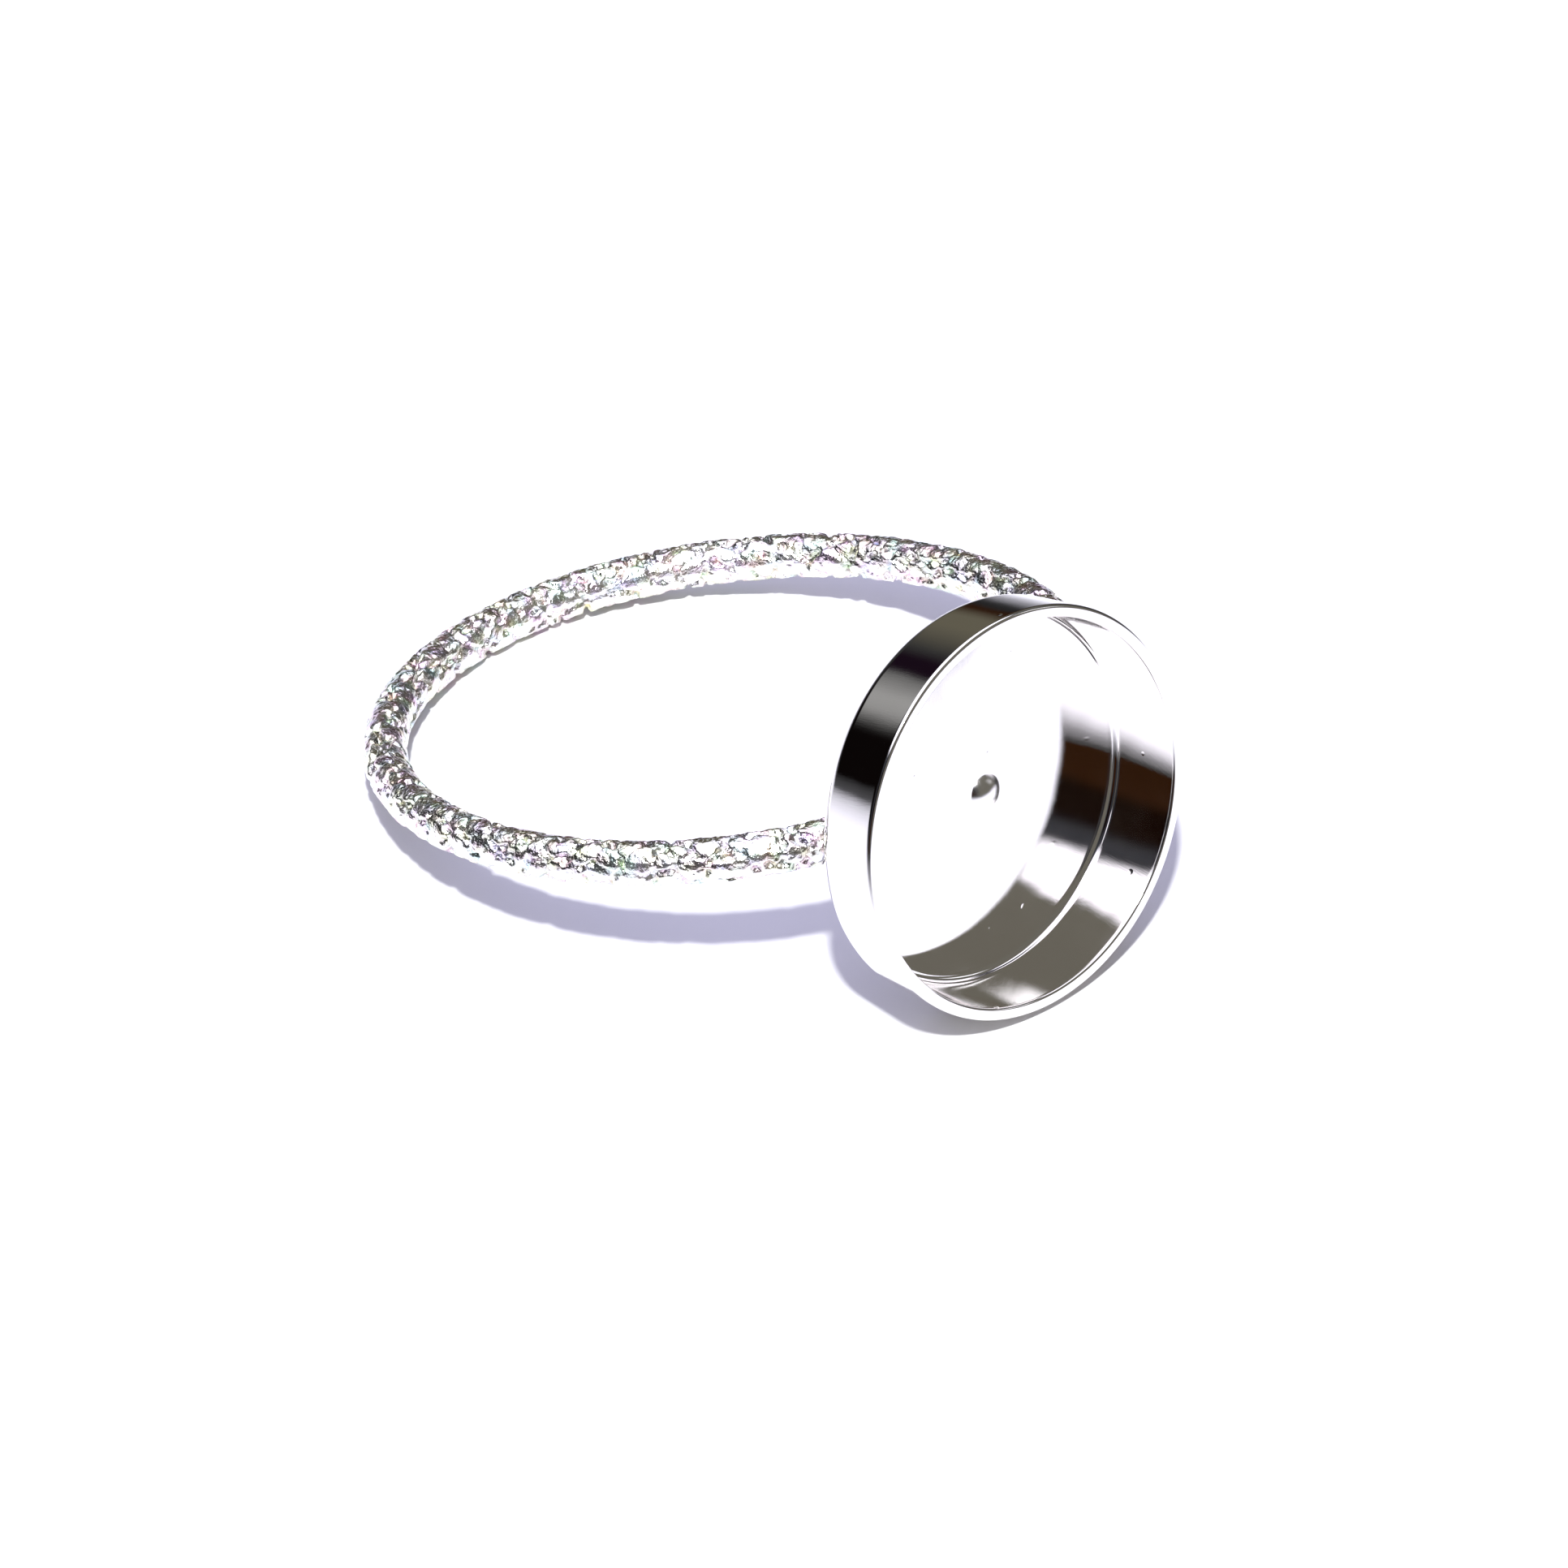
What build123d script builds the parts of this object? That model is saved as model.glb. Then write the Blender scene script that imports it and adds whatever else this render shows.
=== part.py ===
from build123d import *
import os
from math import asin, atan2, cos, hypot, pi, radians, sin

# A ring blank of silver: a band of round wire, cut all over with small flat facets, and a plain
# round bezel cup soldered to the outside of the band. A small bead stands on the cup's floor.
# The part is modelled in millimetres as it lies by itself on a flat surface, tipped up onto the
# back edge of the cup and the far side of the band. +X is towards the cup and +Z is up.

# Band
finger_hole_d = 17.3
wire_d = 1.2
facet_length = 0.62
facet_width = 0.38

# Bezel cup
cup_base_d = 10.9
cup_mouth_d = 11.3
cup_height = 2.2
wall_thickness = 0.35
floor_thickness = 0.4
outer_corner_r = 0.45
inner_corner_r = 0.25
lip_r = 0.16

# Raised bead on the floor of the cup, a little off the middle
bead_d = 1.0
bead_height = 0.2
bead_across = 0.1
bead_up = 0.1

# Joint between the band and the cup
flat_depth = 0.35
solder_length = 7.0
solder_spread = 0.32
solder_height = 0.28
solder_slope = 45

# Radii and distances from the band's centre that follow from the sizes above
wire_r = wire_d / 2
band_r = finger_hole_d / 2 + wire_r
base_r = cup_base_d / 2
mouth_r = cup_mouth_d / 2
seat_distance = band_r + wire_r - flat_depth
floor_distance = seat_distance + floor_thickness
mouth_distance = seat_distance + cup_height
bead_ball_r = (bead_d**2 / 4 + bead_height**2) / (2 * bead_height)

# Centres of the rounded back edge and lip, measured from the cup's axis; the wall flares between
flare = (mouth_r - base_r) / cup_height
slant = hypot(1, flare)
back_edge_centre_r = base_r - outer_corner_r * (slant - flare)
lip_centre_r = mouth_r - lip_r * (slant + flare)


def resting_tilt(edge_distance, edge_r, rounding):
    """The tilt at which a rounded edge of the cup and the far side of the band both touch down."""
    distance = band_r + edge_distance
    return atan2(edge_r, distance) + asin((rounding - wire_r) / hypot(edge_r, distance))


back_edge_tilt = resting_tilt(seat_distance + outer_corner_r, back_edge_centre_r, outer_corner_r)
lip_tilt = resting_tilt(mouth_distance - lip_r, lip_centre_r, lip_r)
tilt = max(back_edge_tilt, lip_tilt)

# The centre of the band, placed so that the part stands on Z = 0 and is centred along X
band_end_x = -band_r * cos(tilt) - wire_r
lip_x = (mouth_distance - lip_r) * cos(tilt) + lip_centre_r * sin(tilt) + lip_r
centre = (-(band_end_x + lip_x) / 2, 0, band_r * sin(tilt) + wire_r)

# Planes through that centre: flat in the band, across the cup's axis, and the mirror plane
cup_direction = (cos(tilt), 0, sin(tilt))
band_direction = (-sin(tilt), 0, cos(tilt))
band_plane = Plane(origin=centre, x_dir=cup_direction, z_dir=band_direction)
cup_plane = Plane(origin=centre, x_dir=(0, 1, 0), z_dir=cup_direction)
mirror_plane = Plane(origin=centre, x_dir=cup_direction, z_dir=(0, -1, 0))
seat_plane = cup_plane.offset(seat_distance)
floor_plane = cup_plane.offset(floor_distance)

# Whole numbers of facets fit round the wire and round the band
facets_round_wire = round(pi * wire_d / facet_width)
facets_round_band = round(2 * pi * band_r / facet_length)
facet_angle = 360 / facets_round_band


def wire_section(angle):
    """The plane across the wire at an angle round the band, with its x axis pointing outwards."""
    outwards = (cos(radians(angle)), sin(radians(angle)), 0)
    along = (-sin(radians(angle)), cos(radians(angle)), 0)
    return Plane(origin=tuple(band_r * step for step in outwards), x_dir=outwards, z_dir=along)


# One row of facets round the wire, which is copied all the way round the band
with BuildPart() as facet_row:
    with BuildSketch(wire_section(0), wire_section(facet_angle)):
        RegularPolygon(radius=wire_r, side_count=facets_round_wire)
    loft(ruled=True)

# The band is filed flat where the cup is seated on it
with BuildPart() as wire_band:
    with Locations(band_plane):
        with PolarLocations(0, facets_round_band):
            add(facet_row.part)
    split(bisect_by=seat_plane, keep=Keep.BOTTOM)

# The cup is one piece of sheet: half of its section is drawn from the middle of its back
# outwards, rounded at its corners and lip, and turned about the cup's axis
back_corner = (seat_distance, base_r)
lip_outside = (mouth_distance, mouth_r)
lip_inside = (mouth_distance, mouth_r - wall_thickness)
floor_corner = (floor_distance, base_r - wall_thickness)

with BuildPart() as bezel_cup:
    with BuildSketch(mirror_plane) as cup_section:
        with BuildLine():
            Polyline(
                (seat_distance, 0), back_corner, lip_outside, lip_inside, floor_corner, (floor_distance, 0),
                close=True,
            )
        make_face()
        roundings = (
            (back_corner, outer_corner_r),
            (floor_corner, inner_corner_r),
            (lip_outside, lip_r),
            (lip_inside, lip_r),
        )
        for corner, rounding in roundings:
            fillet(cup_section.vertices().sort_by_distance(corner)[0], radius=rounding)
    revolve(axis=Axis(centre, cup_direction))

# The bead is the top of a ball that stands out of the floor
with BuildPart() as floor_bead:
    with Locations(floor_plane):
        with Locations((bead_across, bead_up, bead_height - bead_ball_r)):
            Sphere(bead_ball_r)
    split(bisect_by=floor_plane, keep=Keep.TOP)

# The solder fills the wedge between the back of the cup and the wire, and runs out along both
with BuildPart() as solder_joint:
    with BuildSketch(seat_plane):
        SlotOverall(solder_length, wire_d + 2 * solder_spread)
    extrude(amount=-solder_height, taper=solder_slope)

# Soldered together, the four are one solid
with BuildPart() as ring_blank:
    add(wire_band.part)
    add(bezel_cup.part)
    add(floor_bead.part)
    add(solder_joint.part)
ring_blank.part.label = "ring_blank"

os.makedirs("parts", exist_ok=True)
export_step(ring_blank.part, "parts/ring_blank.step")
print(f"Rests tipped up by {tilt:.4f} rad, box {ring_blank.part.bounding_box()}")
print(f"Volume {ring_blank.part.volume:.2f} mm3 in {len(ring_blank.part.solids())} solid")
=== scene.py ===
# %% [markdown]
# # A silver ring blank with a bezel cup
# The real object is a finding for a jeweller: a closed band of round wire, cut all over with
# small bright facets, with a plain polished cup soldered to its outside for a flat-backed stone.
# It lies by itself, tipped up onto the back edge of the cup and the far side of the band.
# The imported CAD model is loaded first, because every size and place below follows it.

# %% Load the frame
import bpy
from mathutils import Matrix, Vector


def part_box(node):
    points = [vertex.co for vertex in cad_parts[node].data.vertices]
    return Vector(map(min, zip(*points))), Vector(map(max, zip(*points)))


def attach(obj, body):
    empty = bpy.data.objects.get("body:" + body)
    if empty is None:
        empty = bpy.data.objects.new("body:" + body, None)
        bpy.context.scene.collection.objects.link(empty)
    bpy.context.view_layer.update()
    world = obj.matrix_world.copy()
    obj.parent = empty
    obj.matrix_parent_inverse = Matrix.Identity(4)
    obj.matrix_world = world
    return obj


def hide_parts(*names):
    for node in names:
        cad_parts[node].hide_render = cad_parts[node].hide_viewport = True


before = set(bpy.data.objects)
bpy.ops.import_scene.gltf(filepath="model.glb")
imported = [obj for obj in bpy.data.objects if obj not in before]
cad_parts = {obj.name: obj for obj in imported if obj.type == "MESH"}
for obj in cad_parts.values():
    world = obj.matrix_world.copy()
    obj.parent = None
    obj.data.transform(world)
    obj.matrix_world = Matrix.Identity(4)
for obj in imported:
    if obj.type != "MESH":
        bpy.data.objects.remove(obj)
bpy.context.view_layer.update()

# %% [markdown]
# ## Sizes and places
# All lengths are in metres, as Blender has them, and MM turns the maker's millimetres into them.
# The band and the cup each have a simple place of their own to be modelled in: the band lies
# flat round the origin with the cup towards +X, and the cup stands on its back with its mouth up.
# A matrix then takes each finished mesh to where the CAD says it rests. The place could be typed
# in as numbers. Here it is worked out as the ring finds it by itself: it tips until the rounded
# back edge of the cup and the far side of the band both touch the table.

# %% Sizes of the band and the cup
import bpy
from math import asin, atan2, cos, degrees, hypot, pi, radians, sin
from mathutils import Matrix, Vector

MM = 0.001
band_r = 9.25 * MM
wire_r = 0.6 * MM
seat_distance = 9.5 * MM
base_r = 5.45 * MM
mouth_r = 5.65 * MM
cup_height = 2.2 * MM
outer_corner_r = 0.45 * MM
print("The wire is", 2 * wire_r / MM, "mm thick and the cup", 2 * mouth_r / MM, "mm wide at its mouth")

# %% How the ring rests
# The ring touches down with the wire of its far side and with the rounded back edge of the cup.
# These say where the middle of that rounding is, along the cup's axis and away from it, seen from
# the middle of that wire
flare = (mouth_r - base_r) / cup_height
edge_along = band_r + seat_distance + outer_corner_r
edge_out = base_r - outer_corner_r * (hypot(1, flare) - flare)
tilt = atan2(edge_out, edge_along) + asin((outer_corner_r - wire_r) / hypot(edge_out, edge_along))

# The ring is centred along X, from its lip to the far side of its band, so the box of the CAD node
# says where the middle of the band is
lip_end_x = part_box("ring_blank")[1][0]
band_centre = Vector((band_r * cos(tilt) + wire_r - lip_end_x, 0, band_r * sin(tilt) + wire_r))
to_cup = Vector((cos(tilt), 0, sin(tilt)))
across = Vector((0, 1, 0))
band_up = to_cup.cross(across)


def place_matrix(x_axis, y_axis, z_axis, origin):
    """The matrix that puts a mesh's own axes along these three directions at this point."""
    matrix = Matrix((x_axis, y_axis, z_axis)).transposed().to_4x4()
    matrix.translation = origin
    return matrix


band_place = place_matrix(to_cup, across, band_up, band_centre)
cup_place = place_matrix(across, band_up, to_cup, band_centre + to_cup * seat_distance)
print("The band is tipped up by", round(degrees(tilt), 2), "degrees")
print("Its middle is at", [round(v / MM, 3) for v in band_centre], "mm")

# %% [markdown]
# ## How a piece starts and ends
# Each piece starts as a primitive, which is opened for editing, and ends shaded, at its place and
# joined to the frame. Those steps could be written out four times. As two helpers they are the same
# for every piece, and the cells below hold only what shapes it.

# %% Helpers for every piece
cut_precision = 0.001 * MM
crease_angle = radians(60)


def start(name):
    """Names the primitive that was just added and opens it for editing, all selected."""
    piece = bpy.context.object
    piece.name = name
    piece.data.name = name
    bpy.ops.object.mode_set(mode="EDIT")
    bpy.ops.mesh.select_all(action="SELECT")
    return piece


def finish_piece(piece, matrix):
    """Shades a piece, moves its mesh to its place and hangs it on the frame."""
    bpy.ops.object.mode_set(mode="OBJECT")
    bpy.ops.object.select_all(action="DESELECT")
    piece.select_set(True)
    bpy.context.view_layer.objects.active = piece
    bpy.ops.object.shade_smooth_by_angle(angle=crease_angle)
    piece.matrix_world = matrix
    bpy.ops.object.transform_apply(location=True, rotation=True, scale=True)
    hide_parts("ring_blank")
    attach(piece, "root")
    triangles = sum(len(face.vertices) - 2 for face in piece.data.polygons)
    size = [round(v / MM, 2) for v in piece.dimensions]
    print(piece.name, "has", triangles, "triangles and is", size, "mm")


# %% [markdown]
# ## The faceted band
# The real wire is broken up all over into small uneven cells, so that it glitters. Each cell is a
# low smooth pillow with a crevice round it. There is a dark three-cornered pit where three cells
# meet, and here and there a cell is broken up into small beads.
# It could be a smooth ring with a bump map, but then its outline and its crevices would be flat.
# It could be cut face by face, but then the cells would run in rows, and the real ones do not. So
# a ring is divided finely, and four patterns are pressed into it one after the other, as a worker
# would texture a wire with four punches: the cells, the pits at their corners, the small beads, and
# a slow unevenness that tilts every cell another way, so that each catches another part of the room.

# %% The plain wire
# The patterns only press inwards, so the wire starts thicker than it ends
pressing_room = 0.04 * MM


def apply_modifier(piece, kind, **values):
    """Adds a modifier with these values and applies it at once."""
    bpy.context.view_layer.objects.active = piece
    modifier = piece.modifiers.new(kind.title(), kind)
    for name, value in values.items():
        setattr(modifier, name, value)
    bpy.ops.object.modifier_apply(modifier=modifier.name)


bpy.ops.object.select_all(action="DESELECT")
bpy.ops.mesh.primitive_torus_add(
    major_radius=band_r, minor_radius=wire_r + pressing_room, major_segments=256, minor_segments=20
)
band = start("faceted_band")
bpy.ops.object.mode_set(mode="OBJECT")
apply_modifier(band, "SUBSURF", levels=2, render_levels=2)
print("The plain wire has", len(band.data.vertices), "points")

# %% Press four patterns into the wire
# Each profile goes from the bottom of the crevice or pit up to the smooth top of the cell
crevice_profile = ((0, 0), (0.1, 0.45), (0.22, 0.85), (0.38, 1))
pit_profile = ((0, 0), (0.09, 0.35), (0.19, 0.9), (0.25, 1))
# From each point, a cell pattern measures how far off the nearest middles of cells are. The
# second distance less the first is nothing along the crevices, and the third less the first is
# nothing only at the corners
at_crevices = {"weight_1": -1, "weight_2": 1, "noise_intensity": 2}
at_corners = {"weight_1": -1, "weight_2": 0, "weight_3": 1, "noise_intensity": 2}


def grey(value):
    """A neutral colour of this value."""
    return (value, value, value)


def fill_ramp(ramp, stops):
    """Gives a colour ramp these stops, each a spot from 0 to 1 and a colour."""
    ramp.elements.remove(ramp.elements[-1])
    for index, (spot, colour) in enumerate(stops):
        element = ramp.elements[0] if index == 0 else ramp.elements.new(spot)
        element.position = spot
        element.color = (*colour, 1)


def press(name, kind, size, depth, profile=None, settings=None):
    """Presses a pattern into the band. Size is across a cell, and depth is that of its lowest spot."""
    pattern = bpy.data.textures.new(name, kind)
    pattern.noise_scale = size
    for setting, value in (settings or {}).items():
        setattr(pattern, setting, value)
    if profile:
        pattern.use_color_ramp = True
        fill_ramp(pattern.color_ramp, [(spot, grey(height)) for spot, height in profile])
    apply_modifier(
        band, "DISPLACE", texture=pattern, texture_coords="LOCAL", strength=depth, mid_level=1
    )


press("cells", "VORONOI", size=0.65 * MM, depth=0.035 * MM, profile=crevice_profile, settings=at_crevices)
press("pits", "VORONOI", size=0.65 * MM, depth=0.16 * MM, profile=pit_profile, settings=at_corners)
press("beads", "VORONOI", size=0.27 * MM, depth=0.022 * MM, profile=crevice_profile, settings=at_crevices)
press("tilts", "CLOUDS", size=0.6 * MM, depth=0.03 * MM)
print("The band is", round(band.dimensions.z / MM, 3), "mm thick at most after the four patterns")

# %% File the band flat where the cup sits
# Pieces that are joined run into each other by this much, so that no gap shows between them
overlap = 0.02 * MM
bpy.ops.object.mode_set(mode="EDIT")
bpy.ops.mesh.select_all(action="SELECT")
bpy.ops.mesh.bisect(
    plane_co=(seat_distance + overlap, 0, 0),
    plane_no=(1, 0, 0),
    clear_outer=True,
    use_fill=True,
    threshold=cut_precision,
)
finish_piece(band, band_place)

# %% [markdown]
# ## The bezel cup
# The cup is a shallow dish of sheet silver with straight walls that flare slightly. It could be
# spun from one profile. Here it is worked as a silversmith would think of it: a disc is given its
# height, the mouth is opened a little, the inside is inset and pushed down to the floor, and then
# the back edge, the lip and the inner corner are rounded.

# %% The cup, hollowed out
wall = 0.35 * MM
inner_base_r = 5.1 * MM
floor_edge = 0.12 * MM


def select_faces(piece, wanted):
    """In edit mode, selects the faces whose middle and normal pass the test."""
    bpy.ops.mesh.select_all(action="DESELECT")
    bpy.ops.mesh.select_mode(type="FACE")
    bpy.ops.object.mode_set(mode="OBJECT")
    for face in piece.data.polygons:
        face.select = wanted(face.center, face.normal)
    bpy.ops.object.mode_set(mode="EDIT")


bpy.ops.object.select_all(action="DESELECT")
bpy.ops.mesh.primitive_cylinder_add(
    vertices=192, radius=base_r, depth=cup_height, end_fill_type="NGON", location=(0, 0, cup_height / 2)
)
bpy.ops.object.transform_apply(location=True)
cup = start("bezel_cup")
select_faces(cup, lambda middle, normal: normal.z > 0.9)
bpy.ops.transform.resize(value=(mouth_r / base_r, mouth_r / base_r, 1))
bpy.ops.mesh.inset(thickness=wall)
bpy.ops.mesh.extrude_region_move(TRANSFORM_OT_translate={"value": (0, 0, floor_edge - cup_height)})
floor_share = inner_base_r / (mouth_r - wall)
bpy.ops.transform.resize(value=(floor_share, floor_share, 1))
print("The cup is", round((cup_height - floor_edge) / MM, 2), "mm deep at the edge of its floor")

# %% [markdown]
# ## The dome of the floor
# The reflections on the floor of the real cup are not those of a flat mirror: the floor stands up a
# little towards its middle. It could be the top of one large ball, but the real floor is more like a
# very low cone with a round top, whose slope hardly changes towards its edge. So the floor is inset
# ring by ring, and each ring is lifted along a curve. Its power, floor_bow, says how round it is: 2
# would be nearly a ball, and 1 a cone.

# %% Dome the floor in rings
floor_rise = 0.4 * MM
floor_bow = 1.5
inner_corner_r = 0.22 * MM
rings = 14
middle_r = 0.2 * MM
# The first ring lies just inside the rounding of the inner corner, which comes later
beside = 0.02 * MM
first_r = inner_base_r - inner_corner_r - beside
ring_step = (middle_r - first_r) / rings
ring_radii = [inner_base_r] + [first_r + ring_step * ring for ring in range(rings + 1)]


def dome(radius):
    """How high the floor stands above its edge at this radius."""
    return floor_rise * (1 - (radius / inner_base_r) ** floor_bow)


for outer, inner in zip(ring_radii, ring_radii[1:]):
    bpy.ops.mesh.inset(thickness=outer - inner)
    bpy.ops.transform.translate(value=(0, 0, dome(inner) - dome(outer)))
bpy.ops.mesh.merge(type="CENTER")
print("The floor stands up by", round(dome(middle_r) / MM, 2), "mm in", rings, "rings")

# %% [markdown]
# ## The cup's edges
# The back edge of the cup is well rounded, as sheet is when it is drawn over a form, and the lip is
# filed nearly sharp, so that it can be pressed over a stone. The edges could be rounded in the
# profile of a spun cup. Here each ring of edges is found by its height and radius and bevelled.

# %% Round the cup's edges
lip_r = 0.11 * MM
lip_inside_r = 0.07 * MM
# An edge belongs to a ring of edges when both of its ends are this near to it
near = 0.01 * MM


def select_edges(piece, wanted):
    """In edit mode, selects the edges whose two ends both pass the test."""
    bpy.ops.mesh.select_all(action="DESELECT")
    bpy.ops.mesh.select_mode(type="EDGE")
    bpy.ops.object.mode_set(mode="OBJECT")
    for edge in piece.data.edges:
        ends = [piece.data.vertices[index].co for index in edge.vertices]
        edge.select = all(wanted(end) for end in ends)
    bpy.ops.object.mode_set(mode="EDIT")


def round_edge(height, radius, rounding, steps):
    """Rounds the ring of edges at this height and radius."""
    select_edges(cup, lambda end: abs(end.z - height) < near and abs(hypot(end.x, end.y) - radius) < near)
    bpy.ops.mesh.bevel(offset=rounding, segments=steps, profile=0.5, affect="EDGES")


round_edge(0, base_r, outer_corner_r, steps=10)
round_edge(cup_height, mouth_r, lip_r, steps=6)
round_edge(cup_height, mouth_r - wall, lip_inside_r, steps=5)
round_edge(floor_edge, inner_base_r, inner_corner_r, steps=8)
print("The lip is rounded by", round(lip_r / MM, 2), "mm, and inside by", round(lip_inside_r / MM, 2), "mm")

# %% Hold the flat stretches
# A ring of edges just beside each rounding keeps the soft shading of the rounding out of the
# straight walls, which have to reflect as plain mirrors
for height in (floor_edge + inner_corner_r + beside, outer_corner_r + beside, cup_height - lip_r - beside):
    bpy.ops.mesh.select_all(action="SELECT")
    bpy.ops.mesh.bisect(plane_co=(0, 0, height), plane_no=(0, 0, 1), threshold=cut_precision)
finish_piece(cup, cup_place)

# %% [markdown]
# ## The bead and the solder
# A small bead stands on the floor of the cup, a little off the middle. Its upper side mirrors the
# dark skirt of the room and its lower side the bright paper, so it must be raised: a dent would be
# dark below instead. It could be pressed up out of the floor's rings, but it is off the middle of
# them, so it is the top of a small ball that is cut off just under the floor.
# Silver solder also fills the wedge between the back of the cup and the wire. The photograph hides
# that. It is modelled as a low soft mound: a disc drawn out into an oval, lifted and narrowed.

# %% The bead on the floor
bead_r = 0.5 * MM
bead_height = 0.2 * MM
bead_x, bead_y = 0.1 * MM, 0.1 * MM
ball_r = (bead_r**2 + bead_height**2) / (2 * bead_height)
bead_z = floor_edge + dome(hypot(bead_x, bead_y))
bpy.ops.object.select_all(action="DESELECT")
bpy.ops.mesh.primitive_uv_sphere_add(
    segments=64, ring_count=48, radius=ball_r, location=(bead_x, bead_y, bead_z + bead_height - ball_r)
)
bpy.ops.object.transform_apply(location=True)
bead = start("floor_bead")
bpy.ops.mesh.bisect(
    plane_co=(0, 0, bead_z - overlap),
    plane_no=(0, 0, 1),
    clear_inner=True,
    use_fill=True,
    threshold=cut_precision,
)
finish_piece(bead, cup_place)

# %% The solder joint
# The disc is 1 mm in radius, so it is drawn out to half the length and half the width in mm
solder_half_length, solder_half_width = 3.5, 0.92
disc_thickness = 0.1 * MM
# Three steps down towards the wire, each a height in mm and the share that it narrows to
solder_steps = ((0.08, 0.93), (0.08, 0.88), (0.07, 0.8))
bpy.ops.object.select_all(action="DESELECT")
bpy.ops.mesh.primitive_cylinder_add(
    vertices=64, radius=1 * MM, depth=disc_thickness, end_fill_type="NGON", location=(0, 0, 0)
)
solder = start("solder_joint")
bpy.ops.transform.resize(value=(solder_half_length, solder_half_width, 1))
for lift, narrowing in solder_steps:
    select_faces(solder, lambda middle, normal: normal.z < -0.9)
    bpy.ops.mesh.extrude_region_move(TRANSFORM_OT_translate={"value": (0, 0, -lift * MM)})
    bpy.ops.transform.resize(value=(narrowing, narrowing, 1))
finish_piece(solder, cup_place)

# %% [markdown]
# ## Polished silver
# Bright silver is all reflection, so its colour hardly matters and its finish matters a lot. The
# metal has faint hairlines from the polishing cloth, slow waves from the buffing wheel, a few tiny
# pits and soft patches where it has been handled. They could be painted as a picture and wrapped
# round the metal, but close up it would blur. So all of them are noise, in one node group that the
# materials share, each with its own strengths. The group works in millimetres.

# %% Helpers for nodes
# The sockets of a Mix node that hold colours come after those for numbers and vectors
COLOUR_A, COLOUR_B, COLOUR_OUT = 6, 7, 2


def new_group(name, inputs, outputs):
    """A shader node group with these named sockets, as (name, socket type, default) each."""
    group = bpy.data.node_groups.new(name, "ShaderNodeTree")
    for label, kind, default in inputs:
        socket = group.interface.new_socket(label, in_out="INPUT", socket_type=kind)
        if default is not None:
            socket.default_value = default
    for label, kind in outputs:
        group.interface.new_socket(label, in_out="OUTPUT", socket_type=kind)
    return group


def add_node(tree, kind, sockets=None, **settings):
    """A node of this kind with these settings. Sockets are values by the name or number of an input."""
    node = tree.nodes.new(kind)
    for name, value in settings.items():
        setattr(node, name, value)
    for name, value in (sockets or {}).items():
        node.inputs[name].default_value = value
    return node


# %% The wear group: handled patches
# A slow noise raises the roughness in soft patches, where fingers have touched the silver
wear = new_group(
    "polish_wear",
    [
        ("Vector", "NodeSocketVector", None),
        ("Roughness", "NodeSocketFloat", 0.06),
        ("Smudges", "NodeSocketFloat", 0.05),
        ("Hairlines", "NodeSocketFloat", 0.3),
        ("Waves", "NodeSocketFloat", 1.0),
        ("Pits", "NodeSocketFloat", 5.0),
    ],
    [("Roughness", "NodeSocketFloat"), ("Height", "NodeSocketFloat")],
)
source = add_node(wear, "NodeGroupInput")
result = add_node(wear, "NodeGroupOutput")
smudge = add_node(wear, "ShaderNodeTexNoise", {"Scale": 0.8, "Detail": 3.0, "Roughness": 0.55})
wear.links.new(source.outputs["Vector"], smudge.inputs["Vector"])
spread = add_node(wear, "ShaderNodeMapRange", {"From Min": 0.45, "From Max": 0.75})
wear.links.new(smudge.outputs[0], spread.inputs[0])
scaled = add_node(wear, "ShaderNodeMath", operation="MULTIPLY_ADD")
wear.links.new(spread.outputs[0], scaled.inputs[0])
wear.links.new(source.outputs["Smudges"], scaled.inputs[1])
wear.links.new(source.outputs["Roughness"], scaled.inputs[2])
wear.links.new(scaled.outputs[0], result.inputs["Roughness"])

# %% The wear group: hairlines and waves
# A noise squeezed along one direction becomes long fine lines
stretch = add_node(wear, "ShaderNodeMapping", {"Rotation": (0.3, 0.2, 0.6), "Scale": (1, 18, 1)})
wear.links.new(source.outputs["Vector"], stretch.inputs["Vector"])
lines = add_node(wear, "ShaderNodeTexNoise", {"Scale": 2.5, "Detail": 4.0, "Roughness": 0.7})
wear.links.new(stretch.outputs[0], lines.inputs["Vector"])
strength = add_node(wear, "ShaderNodeMath", operation="MULTIPLY")
wear.links.new(lines.outputs[0], strength.inputs[0])
wear.links.new(source.outputs["Hairlines"], strength.inputs[1])
waves = add_node(wear, "ShaderNodeTexNoise", {"Scale": 0.6, "Detail": 1.0})
wear.links.new(source.outputs["Vector"], waves.inputs["Vector"])
with_waves = add_node(wear, "ShaderNodeMath", operation="MULTIPLY_ADD")
wear.links.new(waves.outputs[0], with_waves.inputs[0])
wear.links.new(source.outputs["Waves"], with_waves.inputs[1])
wear.links.new(strength.outputs[0], with_waves.inputs[2])

# %% The wear group: tiny pits
# Space is parted into cells, and those whose random colour is bright enough have a pit at their
# middle
pit_cells = add_node(wear, "ShaderNodeTexVoronoi", {"Scale": 1.1})
wear.links.new(source.outputs["Vector"], pit_cells.inputs["Vector"])
pit_shape = add_node(
    wear, "ShaderNodeMapRange", {"From Min": 0.02, "From Max": 0.1, "To Min": -1.0, "To Max": 0.0}
)
wear.links.new(pit_cells.outputs["Distance"], pit_shape.inputs[0])
chance = add_node(wear, "ShaderNodeSeparateColor")
wear.links.new(pit_cells.outputs["Color"], chance.inputs[0])
has_pit = add_node(wear, "ShaderNodeMath", {1: 0.4}, operation="GREATER_THAN")
wear.links.new(chance.outputs[0], has_pit.inputs[0])
pit_depth = add_node(wear, "ShaderNodeMath", operation="MULTIPLY")
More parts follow.
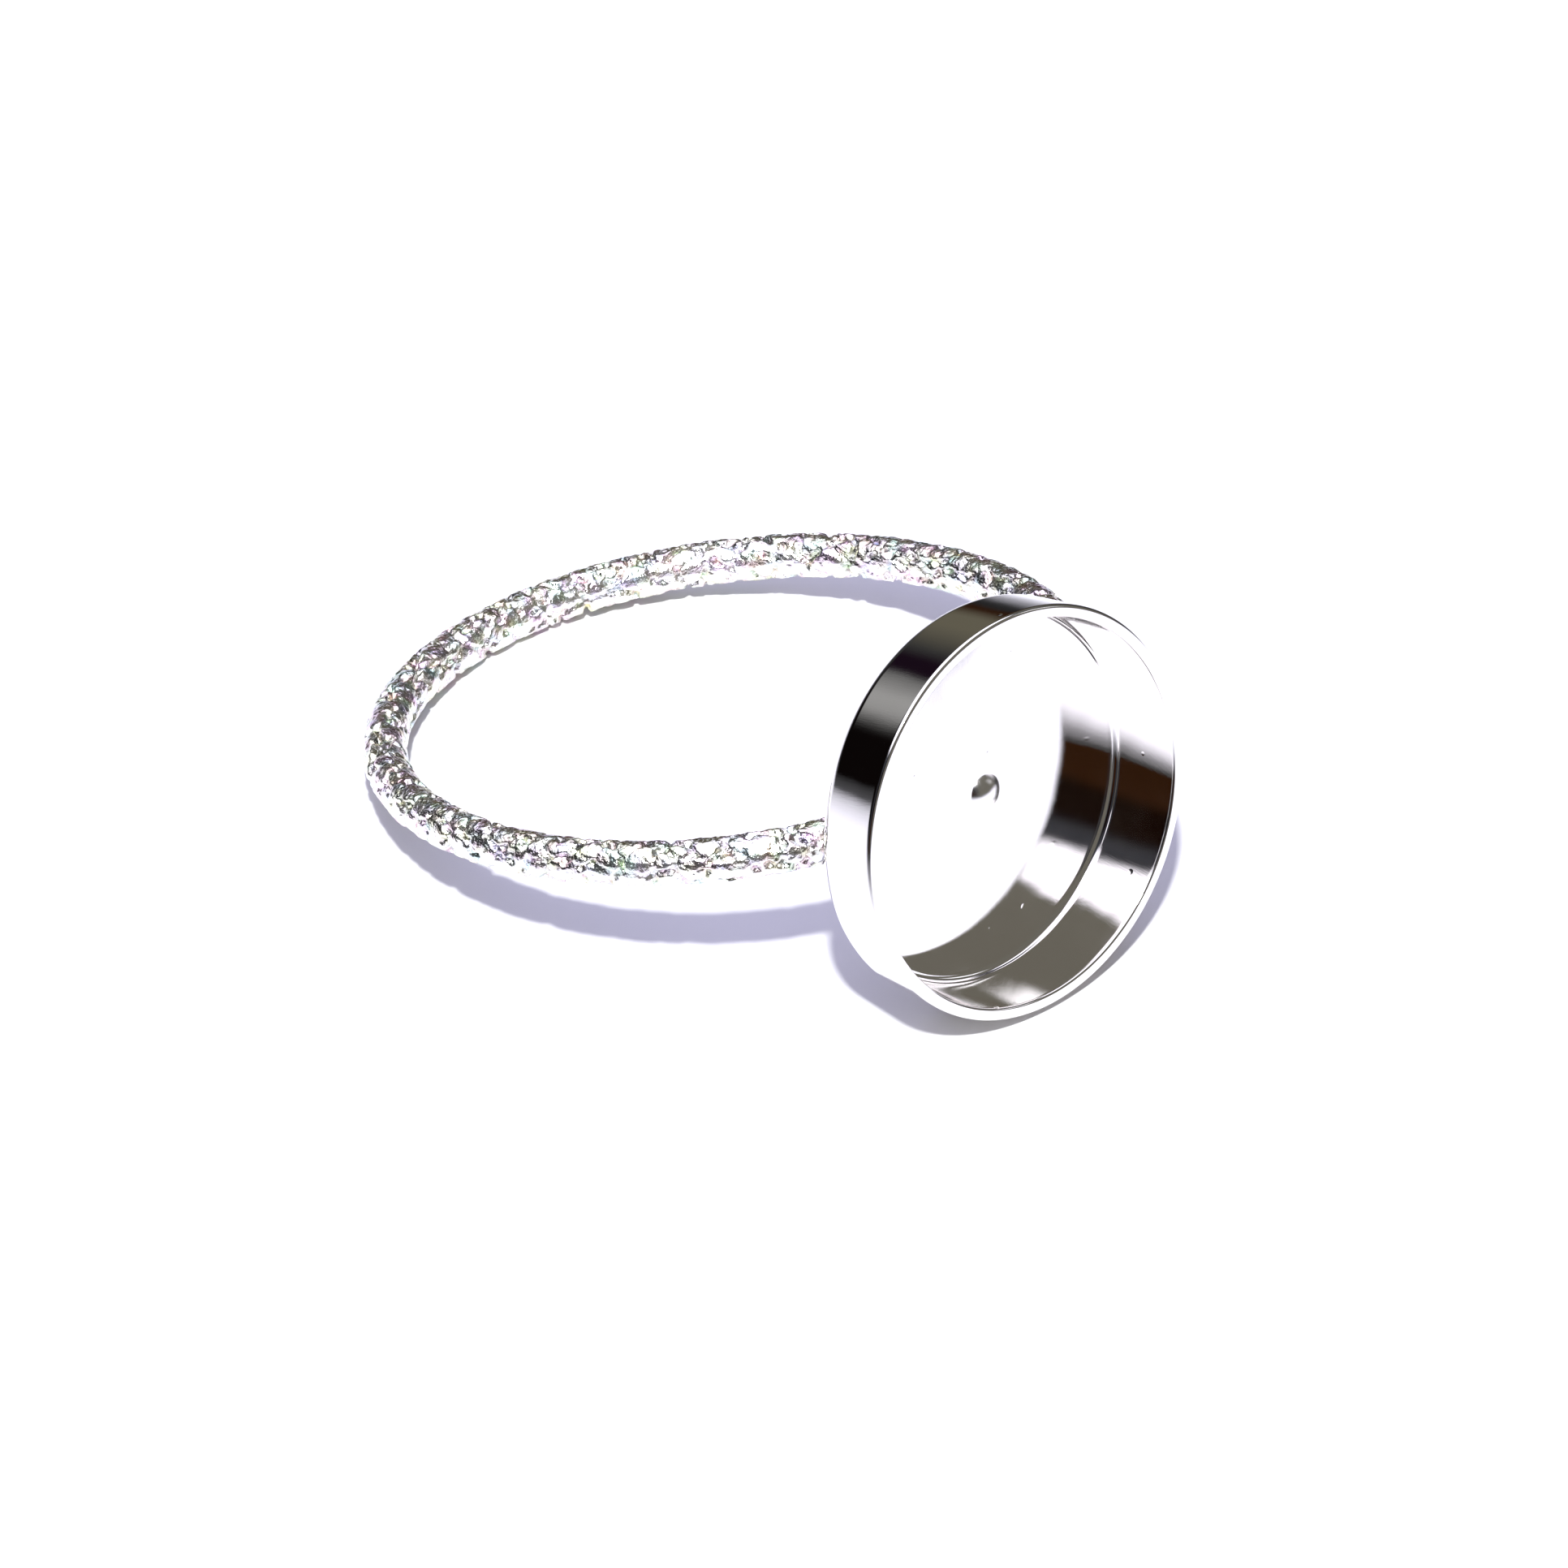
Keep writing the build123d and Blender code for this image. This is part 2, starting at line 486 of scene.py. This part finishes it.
wear.links.new(has_pit.outputs[0], pit_depth.inputs[0])
wear.links.new(source.outputs["Pits"], pit_depth.inputs[1])
with_pits = add_node(wear, "ShaderNodeMath", operation="MULTIPLY_ADD")
wear.links.new(pit_shape.outputs[0], with_pits.inputs[0])
wear.links.new(pit_depth.outputs[0], with_pits.inputs[1])
wear.links.new(with_waves.outputs[0], with_pits.inputs[2])
wear.links.new(with_pits.outputs[0], result.inputs["Height"])
print("The wear group has", len(wear.nodes), "nodes")

# %% [markdown]
# ## Tarnish
# The wire is harder to polish than the cup, and a thin tarnish tints its dark spots olive, brown
# and pink. It could be one colour in the crevices, but the real tints change from spot to spot. So
# the three channels of a noise shift the colour of the metal, each by itself, with a blend that
# leaves its mean colour as it is.

# %% The tarnish group
tarnish = new_group(
    "tarnish",
    [
        ("Vector", "NodeSocketVector", None),
        ("Colour", "NodeSocketColor", None),
        ("Amount", "NodeSocketFloat", 0.1),
    ],
    [("Colour", "NodeSocketColor")],
)
source = add_node(tarnish, "NodeGroupInput")
result = add_node(tarnish, "NodeGroupOutput")
hues = add_node(tarnish, "ShaderNodeTexNoise", {"Scale": 2.2, "Detail": 1.0})
tarnish.links.new(source.outputs["Vector"], hues.inputs["Vector"])
tinted = add_node(tarnish, "ShaderNodeMix", data_type="RGBA", blend_type="LINEAR_LIGHT")
tarnish.links.new(source.outputs["Amount"], tinted.inputs["Factor"])
tarnish.links.new(source.outputs["Colour"], tinted.inputs[COLOUR_A])
tarnish.links.new(hues.outputs["Color"], tinted.inputs[COLOUR_B])
tarnish.links.new(tinted.outputs[COLOUR_OUT], result.inputs["Colour"])
print("The tarnish group has", len(tarnish.nodes), "nodes")

# %% [markdown]
# ## Four finishes
# The cup is buffed to a mirror, so it has the lowest roughness and the strongest waves. The wheel
# can't get into the crevices of the wire, so that is rougher, with a fine grain that breaks up what
# its cells mirror. The bead and the solder are small and hard to reach, so they lie between. They
# could be four materials, each built by itself, but all are the same metal, so one function makes
# them from a few numbers.

# %% The silver materials


def silver(name, colour, roughness, smudges, hairlines, depth, waves=1, grain=0, tarnished=0):
    """Silver with the shared wear, marked to this depth. Smudges, hairlines and waves are how
    strong each kind of wear is, grain is the height of the fine bumps on the same scale, and
    tarnished is how strong the tints are."""
    material = bpy.data.materials.new(name)
    material.use_nodes = True
    tree = material.node_tree
    shader = tree.nodes["Principled BSDF"]
    shader.inputs["Metallic"].default_value = 1.0
    shader.inputs["Base Color"].default_value = (*colour, 1)
    place = add_node(tree, "ShaderNodeTexCoord")
    in_mm = add_node(tree, "ShaderNodeMapping", {"Scale": (1 / MM, 1 / MM, 1 / MM)})
    tree.links.new(place.outputs["Object"], in_mm.inputs["Vector"])
    strengths = {"Roughness": roughness, "Smudges": smudges, "Hairlines": hairlines, "Waves": waves}
    marks = add_node(tree, "ShaderNodeGroup", node_tree=wear)
    for label, value in strengths.items():
        marks.inputs[label].default_value = value
    tree.links.new(in_mm.outputs[0], marks.inputs["Vector"])
    tree.links.new(marks.outputs["Roughness"], shader.inputs["Roughness"])
    bump = add_node(tree, "ShaderNodeBump", {"Distance": depth})
    tree.links.new(marks.outputs["Height"], bump.inputs["Height"])
    tree.links.new(bump.outputs["Normal"], shader.inputs["Normal"])
    if grain:
        fine = add_node(tree, "ShaderNodeTexNoise", {"Scale": 9.0, "Detail": 2.0})
        tree.links.new(in_mm.outputs[0], fine.inputs["Vector"])
        with_grain = add_node(tree, "ShaderNodeMath", {1: grain}, operation="MULTIPLY_ADD")
        tree.links.new(fine.outputs[0], with_grain.inputs[0])
        tree.links.new(marks.outputs["Height"], with_grain.inputs[2])
        tree.links.new(with_grain.outputs[0], bump.inputs["Height"])
    if tarnished:
        tints = add_node(tree, "ShaderNodeGroup", node_tree=tarnish)
        tints.inputs["Colour"].default_value = (*colour, 1)
        tints.inputs["Amount"].default_value = tarnished
        tree.links.new(in_mm.outputs[0], tints.inputs["Vector"])
        tree.links.new(tints.outputs["Colour"], shader.inputs["Base Color"])
    return material


# %% Give each piece its finish
bright = (0.95, 0.93, 0.91)
cut_bright = (0.96, 0.93, 0.88)
solder_colour = (0.9, 0.87, 0.82)
polished_silver = silver(
    "polished_silver", bright, roughness=0.03, smudges=0.03, hairlines=0.3, depth=0.002 * MM, waves=5
)
cut_silver = silver(
    "cut_silver", cut_bright, roughness=0.2, smudges=0.08, hairlines=0.5, depth=0.004 * MM,
    grain=8, tarnished=0.35,
)
bead_silver = silver(
    "bead_silver", bright, roughness=0.16, smudges=0.05, hairlines=0.6, depth=0.006 * MM
)
solder_silver = silver(
    "solder_silver", solder_colour, roughness=0.16, smudges=0.15, hairlines=1.0, depth=0.01 * MM,
    tarnished=0.4,
)
finishes = ((cup, polished_silver), (band, cut_silver), (bead, bead_silver), (solder, solder_silver))
for piece, finish in finishes:
    piece.data.materials.append(finish)
    print(piece.name, "is finished in", finish.name)

# %% [markdown]
# ## The floor
# A plain sheet of white paper in a long pool of light. The camera sees it white all over. What the
# silver mirrors of it is white near the ring and falls off to dark towards the horizon, because
# the lamp stands close by, so the paper's colour fades outside the pool for mirrored rays alone.
# Beyond the far end of the ring, painted shade darkens the mirrored paper further, as a dark screen
# standing there would.
# A real lamp close by could make the pool, but its light would also fade on the paper that the
# camera sees, which is white right to the edge of the photograph.

# %% The paper
paper_width = 3
paper_white = (0.8, 0.8, 0.8)
bpy.ops.object.select_all(action="DESELECT")
bpy.ops.mesh.primitive_plane_add(size=paper_width)
floor = bpy.context.object
floor.name = "floor"
paper = bpy.data.materials.new("white_paper")
paper.use_nodes = True
tree = paper.node_tree
shader = tree.nodes["Principled BSDF"]
shader.inputs["Roughness"].default_value = 0.9
shader.inputs["Specular IOR Level"].default_value = 0.1
floor.data.materials.append(paper)
print("The paper is", paper_width, "m wide")

# %% The pool of light on the paper
# The pool is an oval whose middle lies past the cup. How far a spot lies from that middle is counted
# in sizes of the oval, and the stops say how white the mirrored paper is there
pool_middle = (36 * MM, 30 * MM, 0)
pool_turn = radians(40)
pool_size = (105 * MM, 38 * MM, 1)
pool_end = 5
pool_stops = (
    (0, 0.8), (0.62, 0.8), (0.8, 0.55), (1, 0.34), (1.33, 0.18), (1.8, 0.12), (3.3, 0.05), (pool_end, 0.01)
)
place = add_node(tree, "ShaderNodeTexCoord")
pool_place = add_node(
    tree,
    "ShaderNodeMapping",
    {"Location": pool_middle, "Rotation": (0, 0, pool_turn), "Scale": pool_size},
    vector_type="TEXTURE",
)
tree.links.new(place.outputs["Object"], pool_place.inputs["Vector"])
away = add_node(tree, "ShaderNodeVectorMath", operation="LENGTH")
tree.links.new(pool_place.outputs[0], away.inputs[0])
pool = add_node(tree, "ShaderNodeValToRGB")
fill_ramp(pool.color_ramp, [(reach / pool_end, grey(value)) for reach, value in pool_stops])
share = add_node(tree, "ShaderNodeMath", {1: pool_end}, operation="DIVIDE")
tree.links.new(away.outputs["Value"], share.inputs[0])
tree.links.new(share.outputs[0], pool.inputs[0])
print("The pool of light is", 2 * pool_size[0] / MM, "mm long and", 2 * pool_size[1] / MM, "mm wide")

# %% Painted shade beyond the far end of the ring
# Painted shade: it darkens the mirrored paper more and more between two places along X, as a dark screen
# standing there would
darkest_shade_x = -75 * MM
shade_end_x = -40 * MM
darkest_shade_share = 0.2
spot = add_node(tree, "ShaderNodeSeparateXYZ")
tree.links.new(place.outputs["Object"], spot.inputs[0])
painted_shade = add_node(
    tree,
    "ShaderNodeMapRange",
    {"From Min": darkest_shade_x, "From Max": shade_end_x, "To Min": darkest_shade_share, "To Max": 1.0},
)
tree.links.new(spot.outputs["X"], painted_shade.inputs[0])
shaded = add_node(tree, "ShaderNodeVectorMath", operation="SCALE")
tree.links.new(pool.outputs["Color"], shaded.inputs[0])
tree.links.new(painted_shade.outputs[0], shaded.inputs["Scale"])
seen = add_node(tree, "ShaderNodeLightPath")
mirrored = add_node(tree, "ShaderNodeMix", {COLOUR_A: (*paper_white, 1)}, data_type="RGBA")
tree.links.new(seen.outputs["Is Glossy Ray"], mirrored.inputs["Factor"])
tree.links.new(shaded.outputs[0], mirrored.inputs[COLOUR_B])
tree.links.new(mirrored.outputs[COLOUR_OUT], shader.inputs["Base Color"])
print("The paper has", len(tree.nodes), "nodes")

# %% [markdown]
# ## The room
# A mirror shows the room that it stands in. The room is a node setup on the world: white overhead,
# and a dark skirt round the horizon. The skirt is a panorama in three bands, low, middle and high,
# each a ramp of colours round the compass, and a fourth ramp says how high it reaches.
# It could be built of walls and cards, but each edge of them would then have to be found in the
# cup's reflections, and a ramp says the same in one number.
# A narrow bright window stands in the middle band, and the cup's wall mirrors it next to its lip.
# The white overhead has two colours. The one that lights the paper is bluer and is seen in the
# shadows, as in the photograph, and the one that the silver mirrors is a little whiter.

# %% Directions in the room
world = bpy.data.worlds.new("studio")
bpy.context.scene.world = world
world.use_nodes = True
tree = world.node_tree
tree.nodes.clear()
direction = add_node(tree, "ShaderNodeTexCoord")
axes = add_node(tree, "ShaderNodeSeparateXYZ")
tree.links.new(direction.outputs["Generated"], axes.inputs[0])
azimuth = add_node(tree, "ShaderNodeMath", operation="ARCTAN2")
tree.links.new(axes.outputs["Y"], azimuth.inputs[0])
tree.links.new(axes.outputs["X"], azimuth.inputs[1])
# A full turn is brought to the 0 to 1 of a colour ramp, with azimuth 0 in its middle
turn = add_node(tree, "ShaderNodeMath", {1: 1 / (2 * pi), 2: 0.5}, operation="MULTIPLY_ADD")
tree.links.new(azimuth.outputs[0], turn.inputs[0])
elevation = add_node(tree, "ShaderNodeMath", operation="ARCSINE")
tree.links.new(axes.outputs["Z"], elevation.inputs[0])

# %% Helpers for the room


def ramp_round(stops):
    """A colour ramp round the horizon. Each stop is an azimuth in degrees and a colour."""
    ramp = add_node(tree, "ShaderNodeValToRGB")
    fill_ramp(ramp.color_ramp, [(compass / 360 + 0.5, colour) for compass, colour in stops])
    tree.links.new(turn.outputs[0], ramp.inputs[0])
    return ramp.outputs["Color"]


def fade(value, start_at, end_at):
    """A soft step from 0 to 1 between these two angles in degrees."""
    step = add_node(
        tree,
        "ShaderNodeMapRange",
        {"From Min": radians(start_at), "From Max": radians(end_at)},
        interpolation_type="SMOOTHSTEP",
    )
    tree.links.new(value, step.inputs[0])
    return step.outputs[0]


def blend(share, low, high):
    """Mixes two colours by this share of the second. A colour is a socket or a plain value."""
    mix = add_node(tree, "ShaderNodeMix", data_type="RGBA")
    tree.links.new(share, mix.inputs["Factor"])
    for colour, socket in ((low, mix.inputs[COLOUR_A]), (high, mix.inputs[COLOUR_B])):
        if isinstance(colour, tuple):
            socket.default_value = (*colour, 1)
        else:
            tree.links.new(colour, socket)
    return mix.outputs[COLOUR_OUT]


# %% The skirt round the horizon
brown = (0.026, 0.009, 0.003)
dark_brown = (0.006, 0.002, 0.001)
olive = (0.145, 0.138, 0.118)
window = (1.5, 1.5, 1.6)
khaki = (0.12, 0.11, 0.08)
black = (0.003, 0.002, 0.002)
purple = (0.009, 0.004, 0.009)
slate = (0.035, 0.036, 0.044)
low_stops = (
    (-180, black), (-110, black), (-62, slate), (-56, brown), (-36, brown), (-28, slate),
    (-14, olive), (60, olive), (85, grey(0.05)), (142, brown), (146, khaki), (152, khaki),
    (160, grey(0.05)), (180, black),
)
middle_stops = (
    (-180, grey(0.14)), (-171, grey(0.33)), (-165, grey(0.3)), (-157, black), (-105, black),
    (-62, slate), (-56, dark_brown), (-36, dark_brown), (-28, slate), (-14, olive), (51.5, olive),
    (52.2, window), (57, window), (58, olive), (85, grey(0.08)), (145, khaki), (154, khaki),
    (165, grey(0.035)), (170, purple), (177, purple), (180, grey(0.14)),
)
high_stops = (
    (-180, grey(0.2)), (-105, slate), (-22, slate), (-14, olive), (60, olive), (85, grey(0.1)),
    (102, grey(0.15)), (118, dark_brown), (140, dark_brown), (180, grey(0.2)),
)
low_band = ramp_round(low_stops)
middle_band = ramp_round(middle_stops)
high_band = ramp_round(high_stops)
print("The bands have", len(low_stops), len(middle_stops), "and", len(high_stops), "colours each")

# %% How high the skirt reaches
# A colour ramp holds values up to 1, so the heights, in degrees, are held as shares of full_height
full_height = 100
skirt_heights = (
    (-180, 38), (-110, 40), (-90, 44), (-26, 44), (-12, 68), (55, 66), (80, 50), (135, 46), (180, 38)
)
height = ramp_round([(compass, grey(reach / full_height)) for compass, reach in skirt_heights])
edge = add_node(tree, "ShaderNodeMath", {1: radians(full_height)}, operation="MULTIPLY")
tree.links.new(height, edge.inputs[0])
above = add_node(tree, "ShaderNodeMath", operation="SUBTRACT")
tree.links.new(elevation.outputs[0], above.inputs[0])
tree.links.new(edge.outputs[0], above.inputs[1])
# The bands run into each other between these heights
skirt = blend(fade(elevation.outputs[0], 12, 19), low_band, middle_band)
skirt = blend(fade(elevation.outputs[0], 30, 37), skirt, high_band)
lowest, highest = min(reach for _, reach in skirt_heights), max(reach for _, reach in skirt_heights)
print("The skirt is", lowest, "to", highest, "degrees high")

# %% White overhead
light_on_paper = (1.17, 1.15, 1.67)
light_in_mirror = (1.45, 1.43, 1.6)
plain_white = (1, 1, 1)
skirt_softness = 3
seen = add_node(tree, "ShaderNodeLightPath")
overhead = blend(seen.outputs["Is Glossy Ray"], light_on_paper, light_in_mirror)
sky = blend(fade(above.outputs[0], -skirt_softness, skirt_softness), skirt, overhead)
backdrop = blend(seen.outputs["Is Camera Ray"], sky, plain_white)
light = add_node(tree, "ShaderNodeBackground")
tree.links.new(backdrop, light.inputs["Color"])
out = add_node(tree, "ShaderNodeOutputWorld")
tree.links.new(light.outputs[0], out.inputs[0])
print("The room has", len(tree.nodes), "nodes")

# %% [markdown]
# ## The main light
# One small lamp casts the shadows under the band and the cup, whose edges are fairly crisp. It could
# be an area lamp, but its distance would then have to be guessed as well. A sun needs only a
# direction, which the shadow of the band gives, and a width, which its soft edge gives.

# %% The main light
sun_azimuth = radians(311.68)
sun_elevation = radians(55.72)
sun_width = radians(3)
sun_strength = 4.0
sun_level = cos(sun_elevation)
to_sun = Vector((sun_level * cos(sun_azimuth), sun_level * sin(sun_azimuth), sin(sun_elevation)))
bpy.ops.object.light_add(type="SUN", location=to_sun)
lamp = bpy.context.object
lamp.name = "main_light"
lamp.rotation_euler = to_sun.to_track_quat("Z", "Y").to_euler()
lamp.data.energy = sun_strength
lamp.data.angle = sun_width
print("The light stands", round(degrees(sun_elevation), 1), "degrees high")

# %% [markdown]
# ## The camera
# The camera looks down on the ring from the side of the cup's mouth, tilted a little, through a long
# lens. It could stand closer with a shorter lens, but then the near wire would look thicker than the
# far one, and in the photograph they look nearly alike.

# %% The camera
azimuth_round = radians(45.099)
height_above = radians(36.082)
roll = radians(3.113)
distance = 0.5
lens = 428.9
# The ring is a little off the middle of the picture
shift_right = 1.607 * MM
shift_up = 0.262 * MM
back = Vector(
    (sin(azimuth_round) * cos(height_above), -cos(azimuth_round) * cos(height_above), sin(height_above))
)
level = Vector((cos(azimuth_round), sin(azimuth_round), 0))
upwards = back.cross(level)
camera_x = level * cos(roll) + upwards * sin(roll)
camera_y = upwards * cos(roll) - level * sin(roll)
aim = Vector((band_centre.x, 0, 0)) + camera_x * shift_right + camera_y * shift_up
bpy.ops.object.camera_add()
camera = bpy.context.object
camera.matrix_world = place_matrix(camera_x, camera_y, back, aim + back * distance)
camera.data.lens = lens
camera.data.sensor_width = 36
camera.data.clip_start = 0.01
camera.data.clip_end = 10
bpy.context.scene.camera = camera
bpy.context.scene.view_settings.view_transform = "Standard"
print("The camera stands", distance, "m away and looks", round(degrees(height_above), 1), "degrees down")
